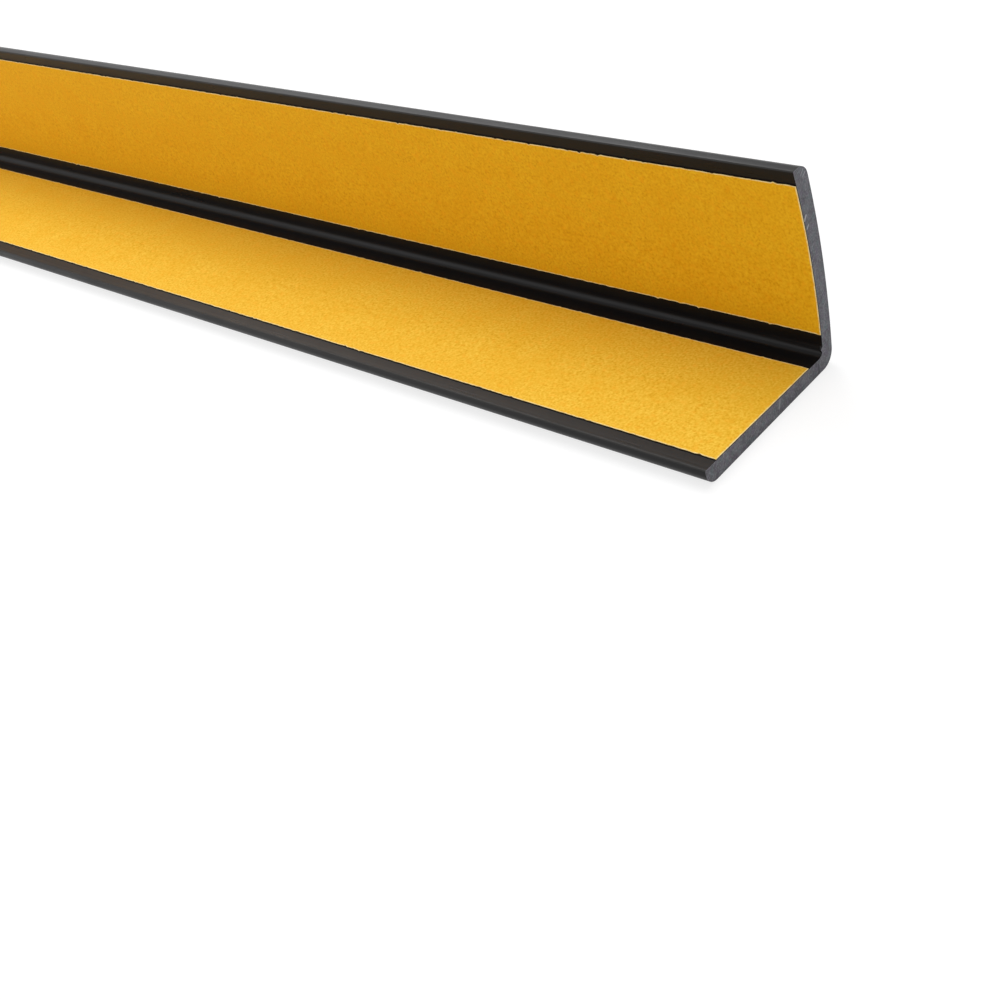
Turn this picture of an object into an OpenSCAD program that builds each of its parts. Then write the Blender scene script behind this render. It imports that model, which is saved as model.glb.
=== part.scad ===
// Self-adhesive PVC angle profile, one cut length.
// X runs along the length and Z is up. The base flange lies flat, the upright
// stands at +Y, and the inside of the angle, with its two tapes, faces -Y and up.

/* [Profile] */
// Length of the piece
length = 1000; // [100:10:3000]
// Overall height, from the underside to the upright's free edge
height = 50; // [25:1:100]
// Overall depth, from the base's free edge to the upright's bulge
depth = 50; // [25:1:100]
// Wall thickness at the heel
wall_heel = 3.5; // [2:0.1:5]
// Wall thickness at the two free edges
wall_edge = 4.5; // [3.6:0.1:6]
// How far the upright bulges outward, halfway up
bow = 1.6; // [0.2:0.1:4]

/* [Corners] */
// Outside radius of the heel
heel_r = 4; // [1:0.1:5]
// Fillet radius of the inner corner
inner_r = 2; // [0.5:0.1:4]
// Radius of the outer corner of each free edge
edge_r = 3.2; // [0.5:0.1:4]
// Radius of the inner corner of each free edge
arris_r = 0.3; // [0.1:0.05:0.4]

/* [Tapes] */
// Distance of both tapes from the back of the heel
tape_from_heel = 9; // [6:0.1:12]
// Bare strip between the upright's tape and its free edge
upright_bare = 3.4; // [0.5:0.1:8]
// Bare strip between the base's tape and its free edge
base_bare = 4; // [0.5:0.1:8]
// Thickness of the double-sided adhesive tape
adhesive_t = 0.2; // [0.05:0.01:1]
// Thickness of the paper release liner
liner_t = 0.12; // [0.05:0.01:0.5]

/* [Hidden] */
// Back of the heel, and the base's free edge
heel_y = depth / 2 - bow;
edge_y = -depth / 2;
base_leg = heel_y - edge_y;
// Radius of the upright's bow, from its chord and its rise
bow_r = (height * height / 4 + bow * bow) / (2 * bow);
// Flat steps along a rounded corner, and along the bow under the tape
corner_steps = 10;
bow_steps = 16;
// Heights between which the upright's tape lies
tape_z0 = tape_from_heel;
tape_z1 = height - upright_bare;
// Places between which the base's tape lies
tape_y0 = edge_y + base_bare;
tape_y1 = heel_y - tape_from_heel;

// Wall thickness at a distance from the back of the heel along a flange
function wall(distance, leg) = wall_heel + (wall_edge - wall_heel) * distance / leg;
// Outer and inner face of the bowed upright, at height z
function outer_y(z) = heel_y + bow - bow_r + sqrt(pow(bow_r, 2) - pow(z - height / 2, 2));
function inner_y(z) = outer_y(z) - wall(z, height);
// Upper face of the base flange, at place y
function base_z(y) = wall(heel_y - y, base_leg);
// Evenly spaced values from one end to the other
function steps(from, to, count) = [for (i = [0 : count]) from + (to - from) * i / count];
// Where the two inner faces meet, before the fillet
corner_z = base_z(inner_y(wall_heel));
inner_corner = [inner_y(corner_z), corner_z];

function unit(v) = v / norm(v);
function turned(v, angle) = [v.x * cos(angle) - v.y * sin(angle), v.x * sin(angle) + v.y * cos(angle)];
// Arc of radius r that rounds corner k, on the way from point a to point b
function rounded(a, k, b, r) =
    let (back = unit(a - k),
         ahead = unit(b - k),
         half = acos(back * ahead) / 2,
         centre = k + unit(back + ahead) * r / sin(half),
         start = k + back * r / tan(half) - centre,
         turn = sign(cross(ahead, back)) * (180 - 2 * half))
    [for (angle = steps(0, turn, corner_steps)) centre + turned(start, angle)];

// Heights of the break points of the upright's faces, shared with the tape on it
outer_margin = max(heel_r, edge_r);
outer_heights = steps(outer_margin, height - outer_margin, bow_steps);
tape_heights = steps(tape_z0, tape_z1, bow_steps);
// Inner corners of the two free edges, and the ends of the base's tape on the base
upright_top = [inner_y(height), height];
base_top = [edge_y, wall_edge];
base_tape_start = [tape_y0, base_z(tape_y0)];
base_tape_end = [tape_y1, base_z(tape_y1)];

// Section of the profile, from the base's free edge round the heel and back
section = concat(
    rounded([edge_y, height], [edge_y, 0], [heel_y, 0], edge_r),
    rounded([edge_y, 0], [heel_y, 0], [outer_y(heel_r), heel_r], heel_r),
    [for (z = outer_heights) [outer_y(z), z]],
    rounded([outer_y(height - edge_r), height - edge_r], [heel_y, height], upright_top, edge_r),
    rounded([heel_y, height], upright_top, [inner_y(tape_z1), tape_z1], arris_r),
    [for (i = [bow_steps : -1 : 0]) [inner_y(tape_heights[i]), tape_heights[i]]],
    rounded([inner_y(tape_z0), tape_z0], inner_corner, base_tape_end, inner_r),
    [base_tape_end, base_tape_start],
    rounded(base_tape_start, base_top, [edge_y, 0], arris_r));

// A section in Y and Z, drawn out along X
module drawn() {
    rotate([90, 0, 90]) linear_extrude(height = length, center = true) children();
}

module angle_profile() {
    color("#2c2b2c") drawn() polygon(section);
}

// A layer on the upright's inner face, which begins a height off it
module upright_layer(off, thickness) {
    drawn() polygon(concat(
        [for (z = tape_heights) [inner_y(z) - off, z]],
        [for (i = [bow_steps : -1 : 0])
            [inner_y(tape_heights[i]) - off - thickness, tape_heights[i]]]));
}

// A layer on the base's upper face, which begins a height off it
module base_layer(off, thickness) {
    below = [0, off];
    above = [0, off + thickness];
    drawn() polygon([base_tape_start + below, base_tape_end + below,
                     base_tape_end + above, base_tape_start + above]);
}

module upright_adhesive_tape() {
    color("#3a2a14") upright_layer(0, adhesive_t);
}

module upright_release_liner() {
    color("#d99a12") upright_layer(adhesive_t, liner_t);
}

module base_adhesive_tape() {
    color("#3a2a14") base_layer(0, adhesive_t);
}

module base_release_liner() {
    color("#f0b32c") base_layer(adhesive_t, liner_t);
}

angle_profile();
upright_adhesive_tape();
upright_release_liner();
base_adhesive_tape();
base_release_liner();
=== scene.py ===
from collections import namedtuple
import math
import random

import bpy
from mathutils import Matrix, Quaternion, Vector, noise
from mathutils.geometry import delaunay_2d_cdt
from mathutils.kdtree import KDTree


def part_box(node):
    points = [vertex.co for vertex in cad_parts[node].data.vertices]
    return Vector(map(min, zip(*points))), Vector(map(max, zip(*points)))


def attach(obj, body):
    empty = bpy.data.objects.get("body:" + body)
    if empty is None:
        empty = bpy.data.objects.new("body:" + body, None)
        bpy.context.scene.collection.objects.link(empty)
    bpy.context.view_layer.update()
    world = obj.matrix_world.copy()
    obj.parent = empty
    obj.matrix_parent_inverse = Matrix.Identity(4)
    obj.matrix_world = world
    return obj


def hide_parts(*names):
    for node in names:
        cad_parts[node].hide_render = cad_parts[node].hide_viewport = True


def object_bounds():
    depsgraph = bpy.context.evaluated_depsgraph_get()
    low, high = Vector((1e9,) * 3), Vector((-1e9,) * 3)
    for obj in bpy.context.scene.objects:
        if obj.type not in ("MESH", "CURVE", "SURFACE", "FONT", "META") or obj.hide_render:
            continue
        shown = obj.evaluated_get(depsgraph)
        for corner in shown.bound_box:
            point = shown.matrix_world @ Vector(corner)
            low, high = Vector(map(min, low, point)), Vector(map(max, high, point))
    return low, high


# A cut length of black, self-adhesive PVC angle profile. Its upright and its base each carry a strip of
# adhesive film under an amber paper liner. X runs along the length, towards the sawn end that shows,
# Y towards the outer face of the upright, and Z up.

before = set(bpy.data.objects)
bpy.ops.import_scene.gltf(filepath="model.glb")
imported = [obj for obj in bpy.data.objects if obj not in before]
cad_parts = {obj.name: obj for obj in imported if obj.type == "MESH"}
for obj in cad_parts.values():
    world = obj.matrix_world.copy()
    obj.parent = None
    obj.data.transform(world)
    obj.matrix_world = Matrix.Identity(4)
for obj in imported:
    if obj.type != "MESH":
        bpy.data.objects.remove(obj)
cad_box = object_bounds()

MM = 0.001
HALF_LENGTH = cad_box[1].x
SAME_POINT = 0.01 * MM
FLANGES = ("upright", "base")
# At which side across its paper a flange's free edge lies
FREE_EDGE_SIDE = {"upright": 1, "base": 0}

# Two sides of a layer's outline meet in a corner where the cosine of the turn between them is below this
CORNER_COSINE = 0.5
# Faces that meet at more than this angle keep a sharp edge
SHARP_ANGLE = math.radians(40)

# Camera, fitted to the corners of the sawn end and to the long edges
CAMERA_AT = Vector((668.79, -207.97, 198.86)) * MM
CAMERA_AIM = Vector((480.82, -63.46, 20.0)) * MM
CAMERA_ROLL = math.radians(-17.92)
CAMERA_LENS = 54.47

# Floor: how far it reaches, and its level, a hair under the piece
FLOOR_REACH = 6.0
FLOOR_LEVEL = -0.05 * MM

# Extruded skin: spacing of the points round the section and along the length, and how far the cooling
# sleeve let the outer faces sink. An edge rounded more sharply than the edge highlight radius below gets a
# painted highlight: a paler colour.
SKIN_STEP = 0.45 * MM
SKIN_STEP_ALONG = 20.0 * MM
END_MARGINS = (0.0, 0.25 * MM, 0.8 * MM)
HIGHLIGHT_RADIUS = 0.6 * MM
SLEEVE_SINK = 0.03 * MM
SLEEVE_WAVE = 9.0 * MM
SLEEVE_WAVE_ALONG = 160.0 * MM

# Mesh of the sawn ends: rings of the rim, which stay within the radius of the sharpest edge, and spacing of
# the points inside them. SAWN_STRAY is the part of its cell that a point may lie in, and SAWN_CLEAR how far
# it stays from the other points, both as shares of the spacing.
RIM_RINGS = (0.1 * MM, 0.2 * MM, 0.28 * MM)
SAWN_STEP = 0.5 * MM
SAWN_STRAY = (0.2, 0.8)
SAWN_CLEAR = 0.6
# What Blender's triangulation is asked for: only the triangles inside the ring. Points closer than the
# tolerance are one.
INSIDE_RING = 1
RING_TOLERANCE = 1e-9

# The blade that cut the ends: where its axis passed, the arcs of its teeth, the slope of the streaks that
# they drew, and the torn plastic between them, which shifts the arcs by up to TOOTH_SHIFT radians
BLADE_CENTRE = Vector((108.0, -58.0)) * MM
TOOTH_PITCH = 1.3 * MM
TOOTH_DEPTH = 0.02 * MM
TOOTH_SHIFT = 2.0
TOOTH_SLANT = math.radians(-50)
TORN_DEPTH = 0.03 * MM
TORN_SIZE = 1.2 * MM

# Nub of plastic that the blade left in the inner corner of the end that shows
NUB_AT = Vector((20.1, 5.2)) * MM
NUB_REACH = 0.7 * MM
NUB_HEIGHT = 1.0 * MM

# Scratches on the sawn ends, in millimetres. A positive tone is pale, a negative one is dark.
Scratch = namedtuple("Scratch", "start stop half_width depth tone")
SCRATCH_STEP = 0.2
SEEN_SCRATCHES = (
    Scratch(Vector((20.36, 37.49)), Vector((21.16, 38.47)), 0.26, 0.03, 1.0),
    Scratch(Vector((21.00, 35.40)), Vector((21.55, 36.00)), 0.22, 0.02, 0.8),
    Scratch(Vector((20.02, 37.15)), Vector((20.22, 37.40)), 0.24, 0.05, -1.0),
    Scratch(Vector((22.05, 47.34)), Vector((23.08, 47.90)), 0.18, 0.02, 0.5),
    Scratch(Vector((21.35, 47.90)), Vector((22.30, 48.70)), 0.18, 0.02, 0.4),
    Scratch(Vector((2.90, 3.45)), Vector((2.20, 1.60)), 0.34, 0.03, 0.28),
    Scratch(Vector((3.05, 3.95)), Vector((2.98, 3.70)), 0.24, 0.05, -1.0),
    Scratch(Vector((18.15, 2.60)), Vector((17.92, 0.80)), 0.14, 0.03, -0.6),
    Scratch(Vector((17.90, 0.64)), Vector((17.86, 0.48)), 0.28, 0.06, -1.0))

# Random scratches: how many, how far back and aside of a point of the outline they start, and their sizes
# and tones
RANDOM_SCRATCHES = 26
RANDOM_BACK = (0.0, 1.5)
RANDOM_ASIDE = (-1.5, 1.5)
RANDOM_LENGTH = (0.6, 2.2)
RANDOM_HALF_WIDTH = 0.08
RANDOM_DEPTH = (0.01, 0.03)
RANDOM_TONE = (-0.4, 0.7)

# Paper liners: spacing of the points, the pale slit edge, how far a ragged slit reaches into the sheet, and
# the slack of the sheet
PAPER_STEP_ACROSS = 5.0 * MM
PAPER_STEP_ALONG = 0.6 * MM
SLIT_MARGINS = (0.0, 0.12 * MM, 0.3 * MM, 0.7 * MM)
SLIT_PALE = 0.3 * MM
SLIT_RAG = 0.14 * MM
SLIT_RAG_LENGTH = 1.8 * MM
SLIT_REACH = 0.9 * MM
PAPER_SLACK = 0.05 * MM
SLACK_WAVE = 20.0 * MM
SLACK_WAVE_ALONG = 35.0 * MM
SLACK_FROM_BORDER = 4.0 * MM

# Adhesive films: spacing of the points, the dark bead beside the paper, which is a painted shadow of the
# paper's edge, and how far it reaches in
FILM_STEP_ACROSS = 6.0 * MM
FILM_STEP_ALONG = 0.6 * MM
FILM_MARGINS = (0.0, 0.5 * MM)
FILM_BEAD = 0.04 * MM
FILM_REACH = 2.0 * MM

# Faults along a border, which show where a noise rises above a level: their size and length. The shift makes
# one kind's noise differ from the next one's.
Fault = namedtuple("Fault", "size length level shift")
SLIT_FIBRES = Fault(0.8 * MM, 1.1 * MM, 0.35, 9)
SLIT_NICKS = Fault(0.9 * MM, 1.1 * MM, 0.25, 20)
FILM_LUMPS = Fault(0.4 * MM, 1.5 * MM, 0.1, 5)

# Sockets of a Mix node that mixes colours, and patches of noise that are as long as they are wide
COLOUR_A, COLOUR_B, COLOUR_MIXED = 6, 7, 2
EVEN = (1, 1, 1)


def linear(colour):
    """A linear colour with alpha 1 from an sRGB hex value."""
    channels = [int(colour[i:i + 2], 16) / 255 for i in (1, 3, 5)]
    return [c / 12.92 if c <= 0.04045 else ((c + 0.055) / 1.055) ** 2.4 for c in channels] + [1.0]


def steps(start, stop, count):
    """Evenly spaced values from start to stop, both included."""
    return [start + (stop - start) * i / count for i in range(count + 1)]


def raised(value):
    """A value between -1 and 1 moved to between 0 and 1."""
    return 0.5 + 0.5 * value


# Section lines read from the frame

def end_outline(node):
    """The points (y, z) round a CAD node's end at +X, counter-clockwise as seen from that end."""
    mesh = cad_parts[node].data
    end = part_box(node)[1].x
    sides = set()
    for face in mesh.polygons:
        corners = [mesh.vertices[i].co for i in face.vertices]
        if min(c.x for c in corners) > end - SAME_POINT:
            ring = [(round(c.y, 7), round(c.z, 7)) for c in corners]
            sides.update(zip(ring, ring[1:] + ring[:1]))
    following = dict(side for side in sides if side[::-1] not in sides)
    point = min(following)
    outline = []
    while following:
        outline.append(Vector(point))
        point = following.pop(point)
    return outline


def spaced(outline, step):
    """The closed outline with points added, so that none of its sides is longer than step."""
    points = []
    for a, b in zip(outline, outline[1:] + outline[:1]):
        count = math.ceil((b - a).length / step)
        points += [a.lerp(b, i / count) for i in range(count)]
    return points


def outward_normals(outline):
    """The outward direction at each point of a closed outline."""
    sides = [(b - a).normalized() for a, b in zip(outline, outline[1:] + outline[:1])]
    tangents = [before + after for before, after in zip(sides[-1:] + sides[:-1], sides)]
    return [Vector((t.y, -t.x)).normalized() for t in tangents]


def painted_edge_highlights(outline):
    """1 at the points where a closed outline is rounded so sharply that its edge gets a painted highlight,
    and 0 elsewhere.
    """
    sides = [b - a for a, b in zip(outline, outline[1:] + outline[:1])]
    edge_highlight = []
    for before, after in zip(sides[-1:] + sides[:-1], sides):
        turn = before.angle(after)
        edge_highlight.append(float(before.length + after.length < 2 * HIGHLIGHT_RADIUS * turn))
    return edge_highlight


def layer_sides(node):
    """The two long sides of a thin layer's end: the one that lies on the profile, and the one that shows."""
    outline = end_outline(node)
    sides = [(b - a).normalized() for a, b in zip(outline, outline[1:] + outline[:1])]
    corners = [i for i in range(len(outline)) if sides[i - 1].dot(sides[i]) < CORNER_COSINE]
    runs = []
    for first, last in zip(corners, corners[1:] + [corners[0] + len(outline)]):
        runs.append([outline[i % len(outline)] for i in range(first, last + 1)])
    runs.sort(key=lambda run: (run[-1] - run[0]).length)
    # The side that shows lies farther into the angle
    back, face = sorted(runs[2:], key=lambda run: sum(p.y - p.x for p in run) / len(run))
    return back, face[::-1]


class Path:
    """A line through points, read by the distance along it."""

    def __init__(self, points):
        self.points = points
        self.marks = [0.0]
        for a, b in zip(points, points[1:]):
            self.marks.append(self.marks[-1] + (b - a).length)
        self.length = self.marks[-1]

    def at(self, distance):
        """The point at that distance, on the line's straight continuation where it is past an end."""
        last = len(self.points) - 2
        i = next((k for k in range(last) if distance < self.marks[k + 1]), last)
        share = (distance - self.marks[i]) / (self.marks[i + 1] - self.marks[i])
        return self.points[i] + (self.points[i + 1] - self.points[i]) * share


def marks_over(length, margins, step):
    """Distances from 0 to length: the margins at both ends, and even steps between them."""
    middle = length - 2 * margins[-1]
    count = max(1, round(middle / step))
    inner = [margins[-1] + middle * i / count for i in range(1, count)]
    return list(margins) + inner + [length - m for m in reversed(margins)]


# Meshes

def new_piece(name, vertices, faces, materials, slots=None):
    """A mesh object in the scene, smooth but for its sharp edges, riding on the one body."""
    mesh = bpy.data.meshes.new(name)
    mesh.from_pydata(vertices, [], faces)
    for material in materials:
        mesh.materials.append(material)
    if slots:
        mesh.polygons.foreach_set("material_index", slots)
    mesh.polygons.foreach_set("use_smooth", [True] * len(mesh.polygons))
    mesh.set_sharp_from_angle(angle=SHARP_ANGLE)
    mesh.update()
    piece = bpy.data.objects.new(name, mesh)
    bpy.context.scene.collection.objects.link(piece)
    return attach(piece, "root")


def point_attribute(piece, name, values):
    """Stores one number for each vertex, for the piece's material to read."""
    piece.data.attributes.new(name, "FLOAT", "POINT").data.foreach_set("value", values)


def saw_relief(point, end):
    """How deep the blade left the end at (y, z): arcs of tooth marks, and the torn plastic between them."""
    from_blade = (point - BLADE_CENTRE).length
    torn = noise.noise(Vector((point.x, point.y, 0.0)) / TORN_SIZE + Vector((0, 0, end)))
    tooth = math.sin(2 * math.pi * from_blade / TOOTH_PITCH + TOOTH_SHIFT * torn)
    return TOOTH_DEPTH * raised(tooth) + TORN_DEPTH * raised(torn)


def random_scratches(outline, seed):
    """Short scratches that the saw's teeth left, along the way they went."""
    draw = random.Random(seed)
    found = []
    for _ in range(RANDOM_SCRATCHES):
        at = draw.choice(outline) / MM
        away = at - BLADE_CENTRE / MM
        way = Vector((-away.y, away.x)).normalized() * draw.choice((-1, 1))
        start = at - way * draw.uniform(*RANDOM_BACK) + away.normalized() * draw.uniform(*RANDOM_ASIDE)
        stop = start + way * draw.uniform(*RANDOM_LENGTH)
        found.append(Scratch(start, stop, RANDOM_HALF_WIDTH, draw.uniform(*RANDOM_DEPTH),
                             draw.uniform(*RANDOM_TONE)))
    return found


def scratch_points(scratches):
    """Points in rows along the scratches, for the mesh of the sawn face to follow them."""
    points = []
    for mark in scratches:
        run = mark.stop - mark.start
        aside = Vector((run.y, -run.x)).normalized() * mark.half_width
        for share in steps(0.0, 1.0, math.ceil(run.length / SCRATCH_STEP)):
            points += [(mark.start + run * share + aside * side) * MM for side in (-1, 0, 1)]
    return points


def scratched(point, scratches):
    """Tone and depth of the strongest scratch at (y, z)."""
    at = point / MM
    tone, depth, strongest = 0.0, 0.0, 0.0
    for mark in scratches:
        run = mark.stop - mark.start
        share = min(1.0, max(0.0, (at - mark.start).dot(run) / run.length_squared))
        strength = 1 - (at - mark.start - run * share).length / mark.half_width
        if strength > strongest:
            tone, depth, strongest = mark.tone * strength, mark.depth * MM * strength, strength
    return tone, depth


def filled(ring, extras, seed):
    """Points and triangles that fill the inside of a ring of (y, z) points. The ring's points come first."""
    taken = KDTree(len(ring) + len(extras))
    for i, point in enumerate(ring + extras):
        taken.insert((point.x, point.y, 0), i)
    taken.balance()
    draw = random.Random(seed)
    low = [min(p[k] for p in ring) for k in (0, 1)]
    high = [max(p[k] for p in ring) for k in (0, 1)]
    points = ring + extras
    for i in range(int((high[0] - low[0]) / SAWN_STEP)):
        for j in range(int((high[1] - low[1]) / SAWN_STEP)):
            # Every second row lies half a step aside
            y = low[0] + SAWN_STEP * (i + 0.5 * (j % 2) + draw.uniform(*SAWN_STRAY))
            z = low[1] + SAWN_STEP * (j + draw.uniform(*SAWN_STRAY))
            if taken.find((y, z, 0))[2] > SAWN_CLEAR * SAWN_STEP:
                points.append(Vector((y, z)))
    outer = [list(range(len(ring)))]
    made, _, triangles, origins, _, _ = delaunay_2d_cdt(points, [], outer, INSIDE_RING, RING_TOLERANCE)
    used = sorted({i for triangle in triangles for i in triangle if min(origins[i]) >= len(ring)})
    place = {i: min(origins[i]) for i in range(len(made)) if origins[i] and min(origins[i]) < len(ring)}
    place.update({i: len(ring) + k for k, i in enumerate(used)})
    return [made[i] for i in used], [[place[i] for i in triangle] for triangle in triangles]


def extruded_angle(skin, sawn):
    """The profile: its skin drawn along the length, and a sawn face across each end."""
    outline = spaced(end_outline("angle_profile"), SKIN_STEP)
    normals = outward_normals(outline)
    count = len(outline)
    # +1 where the section faces out of the angle, -1 where it faces into it
    outside = [(n.x - n.y) * math.sqrt(0.5) for n in normals]
    around = Path(outline).marks
    edge_highlight = painted_edge_highlights(outline)
    # 1 where a tape lies on the section; the sawn rim gets a painted shadow there
    backs = [layer_sides(flange + "_adhesive_tape")[0] for flange in FLANGES]
    tapes = [p for back in backs for p in spaced(back, SKIN_STEP / 2)]
    taped = [float(min((p - q).length for q in tapes) < SKIN_STEP / 2) for p in outline]
    vertices = []
    attributes = {"outline_side": [], "painted_tape_shadow": [], "painted_edge_highlight": [], "scratch_tone": []}

    def add_points(points, values):
        """Adds vertices with the values of some attributes, the others being 0, and returns their numbers."""
        start = len(vertices)
        vertices.extend(points)
        for name, store in attributes.items():
            store.extend(values.get(name, [0.0] * len(points)))
        return list(range(start, len(vertices)))

    def formed(x):
        """The section's outline at x, with its sunk outer faces and the nub at the sawn end."""
        ring = []
        for point, normal, out, s in zip(outline, normals, outside, around):
            wave = noise.noise(Vector((x / SLEEVE_WAVE_ALONG, s / SLEEVE_WAVE, 0.0)))
            sink = SLEEVE_SINK * max(0.0, out) * raised(wave)
            off_nub = max((point - NUB_AT).length / NUB_REACH, (HALF_LENGTH - x) / END_MARGINS[-1])
            ring.append(point + normal * (NUB_HEIGHT * max(0.0, 1 - off_nub) - sink))
        return ring

    def between(near, far):
        """The quads between two rings of vertices."""
        corners = [(j, (j + 1) % count) for j in range(count)]
        return [(near[j], near[k], far[k], far[j]) for j, k in corners]

    rings = []
    for distance in marks_over(2 * HALF_LENGTH, END_MARGINS, SKIN_STEP_ALONG):
        x = distance - HALF_LENGTH
        rings.append(add_points([(x, p.x, p.y) for p in formed(x)],
                                {"outline_side": outside, "painted_tape_shadow": taped, "painted_edge_highlight": edge_highlight}))
    faces = [quad for near, far in zip(rings, rings[1:]) for quad in between(near, far)]
    slots = [0] * len(faces)

    for end, rim in ((-1, rings[0]), (1, rings[-1])):
        scratches = random_scratches(outline, end) + list(SEEN_SCRATCHES if end > 0 else ())

        def sawn_points(points):
            """The places of points (y, z) of this end, behind the outermost plane, and their scratches."""
            marks = [scratched(p, scratches) for p in points]
            depths = [saw_relief(p, end) + depth for p, (tone, depth) in zip(points, marks)]
            placed = [(end * (HALF_LENGTH - depth), p.x, p.y) for p, depth in zip(points, depths)]
            return placed, [tone for tone, depth in marks]

        edge = formed(end * HALF_LENGTH)
        cap = []
        for inset in RIM_RINGS:
            fade = 1 - inset / RIM_RINGS[-1]
            ring = [p - n * inset for p, n in zip(edge, normals)]
            placed, tones = sawn_points(ring)
            inner_rim = add_points(placed, {"outline_side": [out * fade for out in outside],
                                            "painted_tape_shadow": [on * fade for on in taped],
                                            "scratch_tone": tones})
            cap += between(rim, inner_rim)
            rim = inner_rim
        inner, triangles = filled(ring, scratch_points(scratches), end)
        placed, tones = sawn_points(inner)
        numbers = rim + add_points(placed, {"scratch_tone": tones})
        cap += [tuple(numbers[i] for i in triangle) for triangle in triangles]
        faces += [face if end > 0 else face[::-1] for face in cap]
        slots += [1] * len(cap)

    piece = new_piece("extruded_angle", vertices, faces, [skin, sawn], slots)
    for name, values in attributes.items():
        point_attribute(piece, name, values)
    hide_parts("angle_profile")


def laid_strip(name, node, material, step_across, step_along, margins, shape):
    """A thin closed strip on the CAD node's place. shape(x, s, length) gives how far a point moves off
    the profile and how far the strip's border moves outward there, for the distance s across the strip."""
    back, face = (Path(side) for side in layer_sides(node))
    across = marks_over(face.length, margins, step_across)
    along = [m - HALF_LENGTH for m in marks_over(2 * HALF_LENGTH, margins, step_along)]
    rows, columns = len(along), len(across)
    vertices, edges = [], []
    for path in (face, back):
        for x in along:
            for s in across:
                lift, widen = shape(x, s, face.length)
                side = math.copysign(1, s - face.length / 2)
                share = s / face.length
                point = path.at(path.length * share + side * widen)
                off = (face.at(face.length * share) - back.at(back.length * share)).normalized()
                point = point + off * lift
                vertices.append((x, point.x, point.y))
                border = min(s, face.length - s, HALF_LENGTH - abs(x))
                edges.append(max(0.0, 1 - border / SLIT_PALE))
    faces = []
    under = rows * columns
    for i in range(rows - 1):
        for j in range(columns - 1):
            a = i * columns + j
            quad = (a, a + columns, a + columns + 1, a + 1)
            faces.append(quad)
            faces.append(tuple(under + k for k in reversed(quad)))
    border = [i * columns for i in range(rows)]
    border += [(rows - 1) * columns + j for j in range(1, columns)]
    border += [i * columns + columns - 1 for i in range(rows - 2, -1, -1)]
    border += list(range(columns - 2, 0, -1))
    for a, b in zip(border, border[1:] + border[:1]):
        faces.append((b, a, under + a, under + b))
    piece = new_piece(name, vertices, faces, [material])
    point_attribute(piece, "slit_edge", edges)
    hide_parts(node)


def fault_at(kind, x, share, seed):
    """How far a fault of one kind moves a strip's border at x. The share of the way across the strip makes
    its two borders differ."""
    height = noise.noise(Vector((x / kind.length, seed, kind.shift + share)))
    return kind.size * max(0.0, height - kind.level)


def paper_shape(seed, nicked_side):
    """Lift and border of a paper liner: a little slack over its length, and a slit that is not quite
    straight, with fibres that stick out here and there. At the side with the number nicked_side, 0 where
    s is 0 and 1 where it is the length, it has nicks too."""
    def shape(x, s, length):
        share = s / length
        border = min(s, length - s)
        loose = noise.noise(Vector((x / SLACK_WAVE_ALONG, s / SLACK_WAVE, seed)))
        inside = min(1.0, border / SLACK_FROM_BORDER, (HALF_LENGTH - abs(x)) / SLACK_FROM_BORDER)
        rag = noise.noise(Vector((x / SLIT_RAG_LENGTH, seed, share)))
        widen = SLIT_RAG * rag + fault_at(SLIT_FIBRES, x, share, seed)
        if round(share) == nicked_side:
            widen -= fault_at(SLIT_NICKS, x, share, seed)
        return PAPER_SLACK * raised(loose) * inside, widen * max(0.0, 1 - border / SLIT_REACH)
    return shape


def film_shape(seed):
    """Lift and border of an adhesive film: flat, with a thin bead and small lumps beside the paper. Being
    dark, they are a painted shadow of the paper's edge."""
    def shape(x, s, length):
        near_border = max(0.0, 1 - min(s, length - s) / FILM_REACH)
        return 0.0, (FILM_BEAD + fault_at(FILM_LUMPS, x, s / length, seed)) * near_border
    return shape


# Materials

def add(tree, kind, settings=None, inputs=None):
    """Adds a shader node, sets its properties, and fills its sockets with values or other nodes' outputs."""
    made = tree.nodes.new(kind)
    for name, value in (settings or {}).items():
        setattr(made, name, value)
    for socket, value in (inputs or {}).items():
        if isinstance(value, bpy.types.NodeSocket):
            tree.links.new(value, made.inputs[socket])
        else:
            made.inputs[socket].default_value = value
    return made


def new_material(name):
    """A material with an empty node tree, and the object's own coordinates in millimetres."""
    material = bpy.data.materials.new(name)
    material.use_nodes = True
    tree = material.node_tree
    tree.nodes.clear()
    place = add(tree, "ShaderNodeTexCoord").outputs["Object"]
    millimetres = add(tree, "ShaderNodeVectorMath", {"operation": "SCALE"}, {0: place, "Scale": 1 / MM})
    return material, tree, millimetres.outputs[0]


def patterns(tree, place, rows):
    """One noise from 0 to 1 for each row. A row gives how wide the patches are in millimetres, how many times
    longer they are along each axis, and how many levels of finer noise they hold."""
    found = []
    for size, stretch, detail in rows:
        squeeze = [1 / (size * s) for s in stretch]
        scaled = add(tree, "ShaderNodeVectorMath", {"operation": "MULTIPLY"}, {0: place, 1: squeeze})
        made = add(tree, "ShaderNodeTexNoise", {}, {
            "Vector": scaled.outputs[0], "Scale": 1.0, "Detail": detail})
        found.append(made.outputs["Fac"])
    return found


def layered(tree, colour, layers):
    """The colour with others laid over it. A layer gives the value that it goes by, the two values between
    which it comes in, how much it covers at most, and its colour."""
    for value, start, full, cover, laid in layers:
        share = add(tree, "ShaderNodeMapRange", {}, {
            "Value": value, "From Min": start, "From Max": full, "To Min": 0.0, "To Max": cover}).outputs[0]
        colour = add(tree, "ShaderNodeMix", {"data_type": "RGBA"}, {
            "Factor": share, COLOUR_A: colour, COLOUR_B: linear(laid)}).outputs[COLOUR_MIXED]
    return colour


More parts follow.
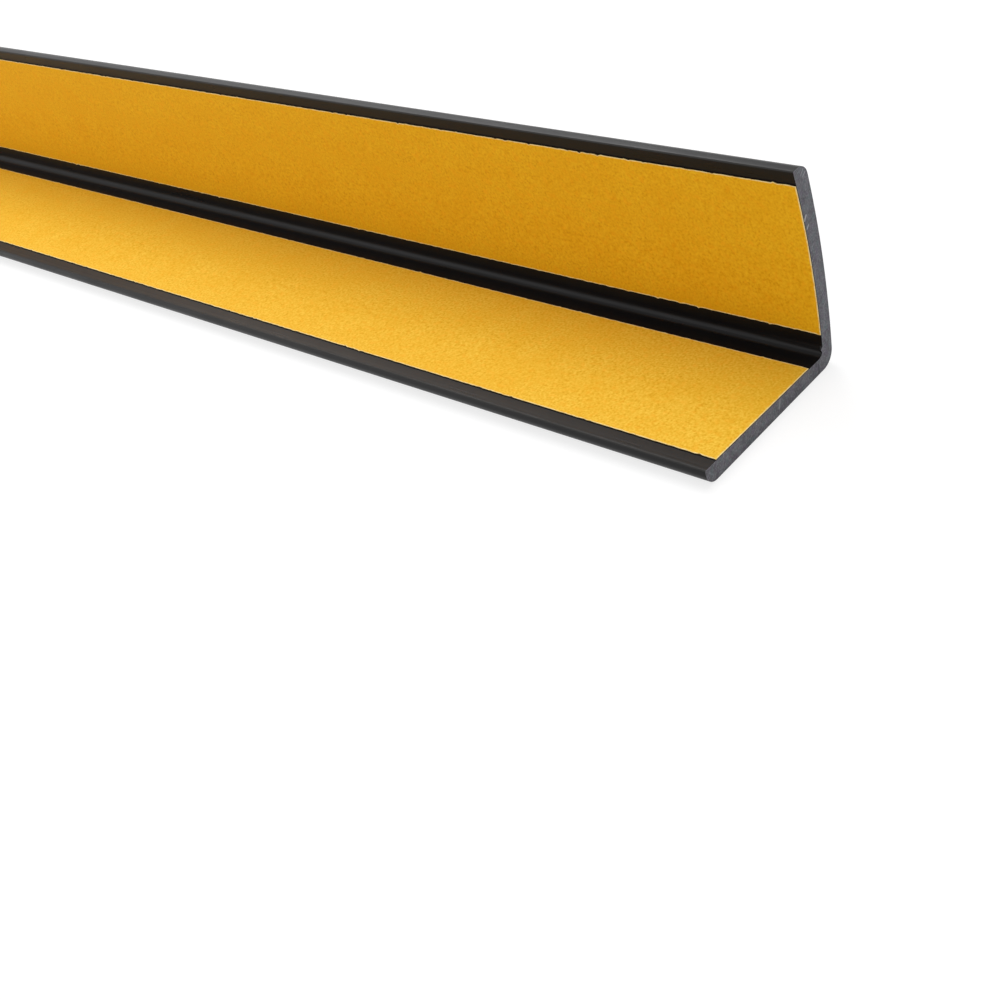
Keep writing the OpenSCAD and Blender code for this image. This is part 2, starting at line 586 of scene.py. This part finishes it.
def extruded_pvc():
    """Rigid PVC, black, drawn through a polished die and a cooling sleeve. The die leaves fine lines along
    the whole length, so the satin face shows long faint streaks and no grain across them."""
    material, tree, place = new_material("rigid_pvc_extruded_satin")
    # The real lines lie about 0.9 mm apart
    lines, streaks, handling = patterns(tree, place, (
        (0.9, (400, 1, 1), 1.0), (4.0, (60, 1, 1), 2.0), (14.0, EVEN, 2.0)))
    edge_highlight = add(tree, "ShaderNodeAttribute", {"attribute_name": "painted_edge_highlight"}).outputs["Fac"]
    colour = add(tree, "ShaderNodeMix", {"data_type": "RGBA"}, {
        "Factor": streaks, COLOUR_A: linear("#09080A"), COLOUR_B: linear("#100F10")}).outputs[COLOUR_MIXED]
    # Painted highlight: the sharply rounded edges of the skin are coloured paler
    colour = add(tree, "ShaderNodeMix", {"data_type": "RGBA"}, {
        "Factor": edge_highlight, COLOUR_A: colour, COLOUR_B: linear("#2E2D2C")}).outputs[COLOUR_MIXED]
    handled = add(tree, "ShaderNodeMapRange", {}, {
        "Value": handling, "From Min": 0.3, "From Max": 0.7, "To Min": 0.3, "To Max": 0.38}).outputs[0]
    drawn = add(tree, "ShaderNodeMapRange", {}, {
        "Value": lines, "From Min": 0.35, "From Max": 0.65, "To Min": -0.05, "To Max": 0.05}).outputs[0]
    rough = add(tree, "ShaderNodeMath", {"operation": "ADD"}, {0: handled, 1: drawn}).outputs[0]
    normal = add(tree, "ShaderNodeBump", {}, {
        "Height": lines, "Distance": 0.014 * MM, "Strength": 1.0}).outputs[0]
    shader = add(tree, "ShaderNodeBsdfPrincipled", {}, {
        "Base Color": colour, "Roughness": rough, "IOR": 1.53, "Specular IOR Level": 0.12, "Normal": normal})
    add(tree, "ShaderNodeOutputMaterial", {}, {"Surface": shader.outputs[0]})
    return material


def sawn_pvc():
    """Rigid PVC, cut across by a circular saw. The teeth tear the plastic, so the black turns a dull grey
    with pale specks and slanted streaks, while the smooth skin round it keeps a dark rim. Where the outline
    faces into the angle, a painted highlight makes the rim pale, and where a tape's edge lies over it, a
    painted shadow makes the rim dark brown."""
    material, tree, place = new_material("rigid_pvc_saw_cut")
    specks, clouds, tints = patterns(tree, place, ((0.35, EVEN, 3.0), (2.2, EVEN, 2.0), (1.1, EVEN, 2.0)))
    along_teeth = add(tree, "ShaderNodeVectorRotate", {"rotation_type": "X_AXIS"}, {
        "Vector": place, "Angle": TOOTH_SLANT}).outputs[0]
    streaks = patterns(tree, along_teeth, [(0.5, (1, 8, 1), 2.0)])[0]
    side, tape_shadow, scratch = [
        add(tree, "ShaderNodeAttribute", {"attribute_name": name}).outputs["Fac"]
        for name in ("outline_side", "painted_tape_shadow", "scratch_tone")]
    colour = layered(tree, linear("#5A595D"), (
        (clouds, 0.35, 0.65, 1.0, "#706F74"),
        (tints, 0.52, 0.66, 0.5, "#5C6D70"),
        (tints, 0.48, 0.34, 0.5, "#6A6274"),
        (specks, 0.5, 0.7, 0.5, "#8F8E93"),
        (specks, 0.46, 0.28, 0.5, "#38373B"),
        (streaks, 0.55, 0.72, 0.4, "#85848A"),
        (side, 0.3, 0.9, 0.8, "#242325"),
        # Painted highlight: paler along the rim where the outline faces into the angle
        (side, -0.3, -0.9, 0.6, "#7C7B80"),
        # Painted shadow: dark brown along the rim where a tape's edge lies over it
        (tape_shadow, 0.4, 1.0, 0.6, "#150D05"),
        (scratch, 0.0, 0.7, 0.95, "#BDBCC0"),
        (scratch, 0.0, -0.7, 0.95, "#131214")))
    normal = add(tree, "ShaderNodeBump", {}, {
        "Height": specks, "Distance": 0.03 * MM, "Strength": 1.0}).outputs[0]
    shader = add(tree, "ShaderNodeBsdfPrincipled", {}, {
        "Base Color": colour, "Roughness": 0.8, "IOR": 1.53, "Specular IOR Level": 0.3, "Normal": normal})
    add(tree, "ShaderNodeOutputMaterial", {}, {"Surface": shader.outputs[0]})
    return material


def liner_paper(name, shade_tint):
    """Glassine paper, dyed amber, calendered, siliconised and slit. Its pressed fibres show as a fine mottle
    with darker pits under a faint sheen, and the slit shows the paper's pale core. The tint multiplied in
    below is painted shade: it gives the upright's strip a darker, deeper amber copy of the same paper."""
    material, tree, place = new_material(name)
    fibres, hues, clouds, fluff = patterns(tree, place, (
        (0.6, EVEN, 3.0), (1.6, EVEN, 2.0), (9.0, EVEN, 2.0), (0.9, EVEN, 2.0)))
    slit = add(tree, "ShaderNodeAttribute", {"attribute_name": "slit_edge"}).outputs["Fac"]
    colour = layered(tree, linear("#E6AC20"), (
        (fibres, 0.32, 0.68, 1.0, "#F6CB48"),
        (fibres, 0.4, 0.28, 0.35, "#D08E10"),
        (hues, 0.5, 0.75, 0.4, "#F9B12C"),
        (clouds, 0.35, 0.65, 0.25, "#EBAC18")))
    # Painted shade: the tint makes a deeper amber copy of the paper for the upright's strip
    tinted = add(tree, "ShaderNodeMix", {"data_type": "RGBA", "blend_type": "MULTIPLY"}, {
        "Factor": 1.0, COLOUR_A: colour, COLOUR_B: linear(shade_tint)}).outputs[COLOUR_MIXED]
    # The pale line along the slit breaks off here and there
    whole = add(tree, "ShaderNodeMapRange", {}, {
        "Value": fluff, "From Min": 0.38, "From Max": 0.58, "To Min": 0.35, "To Max": 1.0}).outputs[0]
    pale = add(tree, "ShaderNodeMath", {"operation": "MULTIPLY"}, {0: whole, 1: slit}).outputs[0]
    colour = layered(tree, tinted, [(pale, 0.0, 0.55, 0.9, "#FFE9A8")])
    normal = add(tree, "ShaderNodeBump", {}, {
        "Height": fibres, "Distance": 0.01 * MM, "Strength": 1.0}).outputs[0]
    shader = add(tree, "ShaderNodeBsdfPrincipled", {}, {
        "Base Color": colour, "Roughness": 0.6, "IOR": 1.47, "Specular IOR Level": 0.1, "Normal": normal})
    add(tree, "ShaderNodeOutputMaterial", {}, {"Surface": shader.outputs[0]})
    return material


def adhesive_film():
    """Acrylic adhesive, cast as a clear film. Between black plastic and amber paper only its edge shows, as a
    dark, wet-looking brown line; beside the paper's long edges that dark line is a painted shadow of the
    paper's edge."""
    material, tree, place = new_material("acrylic_adhesive_clear_film")
    dust = patterns(tree, place, [(1.5, EVEN, 2.0)])[0]
    colour = add(tree, "ShaderNodeMix", {"data_type": "RGBA"}, {
        "Factor": dust, COLOUR_A: linear("#1C1208"), COLOUR_B: linear("#3A2915")}).outputs[COLOUR_MIXED]
    shader = add(tree, "ShaderNodeBsdfPrincipled", {}, {
        "Base Color": colour, "Roughness": 0.3, "IOR": 1.47, "Specular IOR Level": 0.1})
    add(tree, "ShaderNodeOutputMaterial", {}, {"Surface": shader.outputs[0]})
    return material


# Studio

def seen_directly(tree):
    """1 for rays that show the background: straight from the camera, or by a reflection or through glass."""
    path = add(tree, "ShaderNodeLightPath")
    shown = path.outputs["Is Camera Ray"]
    for kind in ("Is Glossy Ray", "Is Transmission Ray"):
        shown = add(tree, "ShaderNodeMath", {"operation": "MAXIMUM"}, {0: shown, 1: path.outputs[kind]})
        shown = shown.outputs[0]
    return shown


def studio_floor():
    """A large pale floor, which looks white and keeps the object's shadow. Far from the lamps it glows more,
    so that it stays white."""
    mesh = bpy.data.meshes.new("studio_floor")
    square = ((-1, -1), (1, -1), (1, 1), (-1, 1))
    corners = [(x * FLOOR_REACH, y * FLOOR_REACH, FLOOR_LEVEL) for x, y in square]
    mesh.from_pydata(corners, [], [(0, 1, 2, 3)])
    floor = bpy.data.objects.new("studio_floor", mesh)
    bpy.context.scene.collection.objects.link(floor)
    material, tree, place = new_material("painted_studio_floor")
    paint = add(tree, "ShaderNodeBsdfDiffuse", {}, {"Color": linear("#F2F2F2")})
    # The distances in this range are in millimetres
    away = add(tree, "ShaderNodeVectorMath", {"operation": "LENGTH"}, {0: place}).outputs["Value"]
    strength = add(tree, "ShaderNodeMapRange", {}, {
        "Value": away, "From Min": 700, "From Max": 1600, "To Min": 0.75, "To Max": 1.0}).outputs[0]
    glow = add(tree, "ShaderNodeEmission", {}, {"Color": (1, 1, 1, 1), "Strength": strength})
    thin = add(tree, "ShaderNodeBsdfDiffuse", {}, {"Color": linear("#969696")})
    white = add(tree, "ShaderNodeAddShader", {}, {0: thin.outputs[0], 1: glow.outputs[0]})
    floor_shader = add(tree, "ShaderNodeMixShader", {}, {
        0: seen_directly(tree), 1: paint.outputs[0], 2: white.outputs[0]})
    add(tree, "ShaderNodeOutputMaterial", {}, {"Surface": floor_shader.outputs[0]})
    mesh.materials.append(material)


def studio_world(fill):
    """White where it is seen, and a plain fill light for the object."""
    world = bpy.data.worlds.new("studio")
    bpy.context.scene.world = world
    world.use_nodes = True
    tree = world.node_tree
    tree.nodes.clear()
    strength = add(tree, "ShaderNodeMapRange", {}, {
        "Value": seen_directly(tree), "From Min": 0.0, "From Max": 1.0, "To Min": fill, "To Max": 1.0})
    sky = add(tree, "ShaderNodeBackground", {}, {"Color": (1, 1, 1, 1), "Strength": strength.outputs[0]})
    add(tree, "ShaderNodeOutputWorld", {}, {"Surface": sky.outputs[0]})


def soft_box(name, at, aim, size, watts):
    """A square area light."""
    light = bpy.data.lights.new(name, "AREA")
    light.shape = "SQUARE"
    light.size = size
    light.energy = watts
    lamp = bpy.data.objects.new(name, light)
    bpy.context.scene.collection.objects.link(lamp)
    lamp.visible_camera = False
    lamp.location = at
    lamp.rotation_mode = "QUATERNION"
    lamp.rotation_quaternion = (Vector(at) - Vector(aim)).to_track_quat("Z", "Y")


def camera():
    """The camera of the reference view."""
    data = bpy.data.cameras.new("camera")
    data.lens = CAMERA_LENS
    data.clip_start = 0.01
    data.clip_end = 50
    holder = bpy.data.objects.new("camera", data)
    bpy.context.scene.collection.objects.link(holder)
    holder.location = CAMERA_AT
    level = (CAMERA_AIM - CAMERA_AT).to_track_quat("-Z", "Y")
    holder.rotation_mode = "QUATERNION"
    holder.rotation_quaternion = level @ Quaternion((0, 0, 1), CAMERA_ROLL)
    bpy.context.scene.camera = holder


camera()
studio_floor()
studio_world(fill=0.38)
soft_box("top_soft_box", at=(0.2, 0.38, 1.4), aim=(0.3, 0.0, 0.0), size=0.9, watts=10.5)
soft_box("back_soft_box", at=(-0.6, 0.78, 1.12), aim=(0.35, 0.0, 0.0), size=0.8, watts=8.6)
soft_box("left_soft_box", at=(-0.2, -0.6, 0.35), aim=(0.1, 0.0, 0.02), size=0.6, watts=1.5)
soft_box("right_soft_box", at=(1.4, -0.5, 0.8), aim=(0.5, 0.0, 0.0), size=0.8, watts=1.7)
bpy.context.scene.view_settings.view_transform = "Standard"

extruded_angle(extruded_pvc(), sawn_pvc())
film = adhesive_film()
# The upright's strip is the same paper with painted shade, a deeper amber tint
papers = {"upright": liner_paper("glassine_paper_siliconised_amber_painted_shade", "#FFF189"),
          "base": liner_paper("glassine_paper_siliconised_amber", "#FFFFFF")}
for seed, flange in enumerate(FLANGES):
    laid_strip(flange + "_adhesive_film", flange + "_adhesive_tape", film,
               FILM_STEP_ACROSS, FILM_STEP_ALONG, FILM_MARGINS, film_shape(seed))
    laid_strip(flange + "_paper_liner", flange + "_release_liner", papers[flange],
               PAPER_STEP_ACROSS, PAPER_STEP_ALONG, SLIT_MARGINS, paper_shape(seed, FREE_EDGE_SIDE[flange]))
